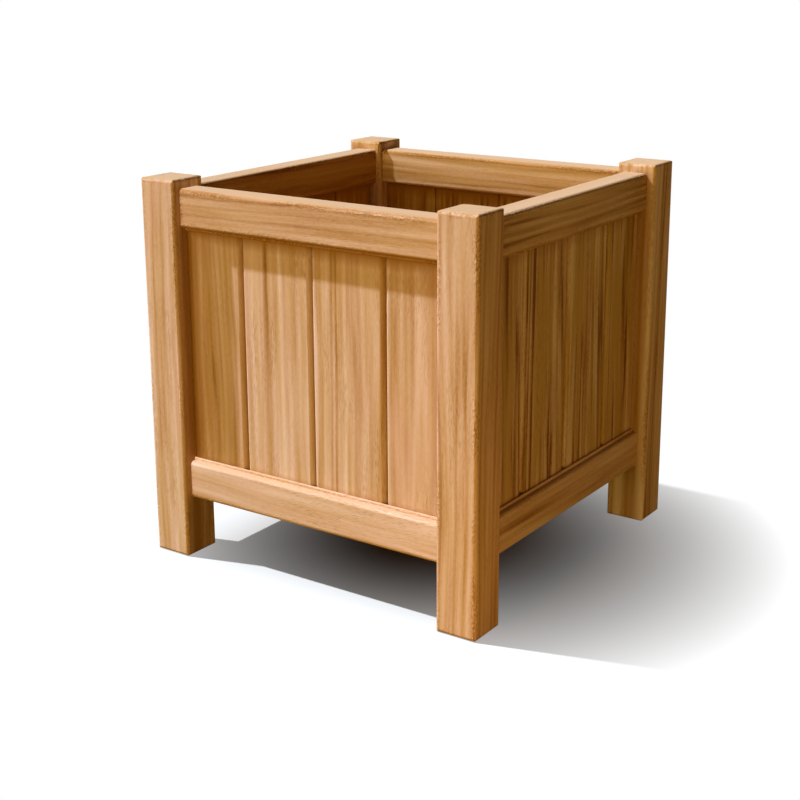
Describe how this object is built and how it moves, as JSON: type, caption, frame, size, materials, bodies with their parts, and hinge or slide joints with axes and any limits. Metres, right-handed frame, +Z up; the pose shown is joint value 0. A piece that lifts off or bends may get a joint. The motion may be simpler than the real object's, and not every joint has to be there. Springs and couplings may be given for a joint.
{
  "type": "square planter",
  "caption": "Square hardwood planter: corner posts that serve as feet, rails with grooved vertical boards between them, and an open slatted floor.",
  "frame": {"origin": "on the floor, under the middle of the planter", "axes": "+Z up, +X to the right of someone who faces the front, front side towards -Y"},
  "size_m": [0.5, 0.5, 0.502],
  "materials": {
    "post_timber": "planed and oiled hardwood, grain upright",
    "rail_timber": "planed and oiled hardwood, grain along the rail",
    "board_timber": "planed and oiled hardwood, grain upright",
    "floor_timber": "sawn hardwood, left bare",
    "screw_steel": "turned stainless steel"
  },
  "bodies": {
    "root": {"post_front_left": "post_timber", "post_front_right": "post_timber", "post_back_right": "post_timber", "post_back_left": "post_timber", "top_rail_front": "rail_timber", "top_rail_right": "rail_timber", "top_rail_back": "rail_timber", "top_rail_left": "rail_timber", "bottom_rail_front": "rail_timber", "bottom_rail_right": "rail_timber", "bottom_rail_back": "rail_timber", "bottom_rail_left": "rail_timber", "board_front_1": "board_timber", "board_front_2": "board_timber", "board_front_3": "board_timber", "board_front_4": "board_timber", "board_right_1": "board_timber", "board_right_2": "board_timber", "board_right_3": "board_timber", "board_right_4": "board_timber", "board_back_1": "board_timber", "board_back_2": "board_timber", "board_back_3": "board_timber", "board_back_4": "board_timber", "board_left_1": "board_timber", "board_left_2": "board_timber", "board_left_3": "board_timber", "board_left_4": "board_timber", "bearer_front": "floor_timber", "bearer_back": "floor_timber", "floor_slat_1": "floor_timber", "floor_slat_2": "floor_timber", "floor_slat_3": "floor_timber", "floor_slat_4": "floor_timber", "floor_slat_5": "floor_timber", "bearer_screws": "screw_steel", "slat_screws": "screw_steel"}
  },
  "joints": []
}
